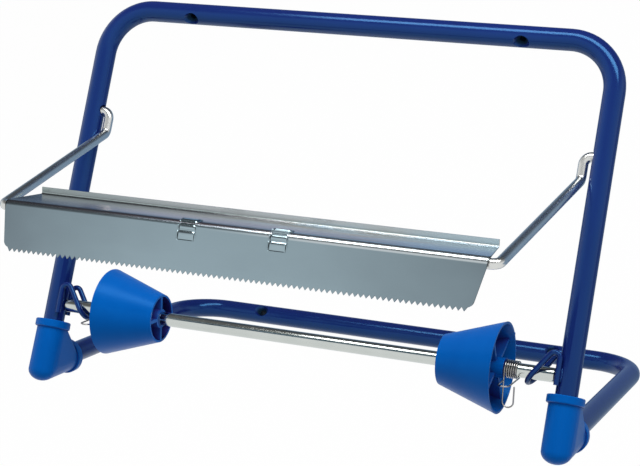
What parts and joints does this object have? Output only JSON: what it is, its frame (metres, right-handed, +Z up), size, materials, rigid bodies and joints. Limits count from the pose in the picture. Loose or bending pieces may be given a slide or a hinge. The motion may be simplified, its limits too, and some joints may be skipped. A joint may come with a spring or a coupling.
{
  "type": "wall-mounted roll dispenser",
  "caption": "Wall-mounted roll dispenser: bent tube frame with plastic corner feet, a lift-out axle with core cones, and a swinging wire bail carrying a saw-toothed tear blade.",
  "frame": {"origin": "on the wall face, midway between the two screw holes of the top bar", "axes": "+X along the bars to the right as seen from the front, +Y into the wall, +Z up"},
  "size_m": [0.599, 0.3693, 0.449],
  "materials": {
    "frame_paint": "gloss powder coat, dark blue",
    "foot_plastic": "satin moulded, mid blue",
    "cone_plastic": "satin moulded, mid blue",
    "axle_zinc": "bright zinc plated",
    "clip_steel": "drawn spring wire",
    "bail_zinc": "zinc plated wire",
    "blade_zinc": "zinc plated sheet with a faint coloured passivation",
    "strap_steel": "bright spring steel"
  },
  "bodies": {
    "frame": {"upper_frame_tube": "frame_paint", "lower_frame_tube": "frame_paint", "left_corner_foot": "foot_plastic", "right_corner_foot": "foot_plastic", "left_axle_hook": "frame_paint", "right_axle_hook": "frame_paint"},
    "bail": {"tear_bail_wire": "bail_zinc", "tear_blade": "blade_zinc", "left_blade_clip": "strap_steel", "right_blade_clip": "strap_steel"},
    "axle": {"axle_rod": "axle_zinc"},
    "left_clip": {"left_spring_clip": "clip_steel"},
    "right_clip": {"right_spring_clip": "clip_steel"},
    "left_cone": {"left_core_cone": "cone_plastic"},
    "right_cone": {"right_core_cone": "cone_plastic"}
  },
  "joints": [
    {"name": "bail_swing", "type": "hinge", "parent": "frame", "child": "bail", "pos_m": [0, -0.09836, -0.07484], "axis": [-1, 0, 0], "range_deg": [-25, 90]},
    {"name": "axle_lift", "type": "slide", "parent": "frame", "child": "axle", "axis": [0, 0.7594, 0.6506], "range_m": [0, 0.045]},
    {"name": "left_clip_slide", "type": "slide", "parent": "axle", "child": "left_clip", "axis": [1, 0, 0], "range_m": [0, 0.06]},
    {"name": "right_clip_slide", "type": "slide", "parent": "axle", "child": "right_clip", "axis": [-1, 0, 0], "range_m": [0, 0.06]},
    {"name": "left_cone_spin", "type": "hinge", "parent": "left_clip", "child": "left_cone", "pos_m": [-0.185, -0.26088, -0.21406], "axis": [1, 0, 0], "continuous": true},
    {"name": "right_cone_spin", "type": "hinge", "parent": "right_clip", "child": "right_cone", "pos_m": [0.185, -0.26088, -0.21406], "axis": [1, 0, 0], "continuous": true}
  ]
}
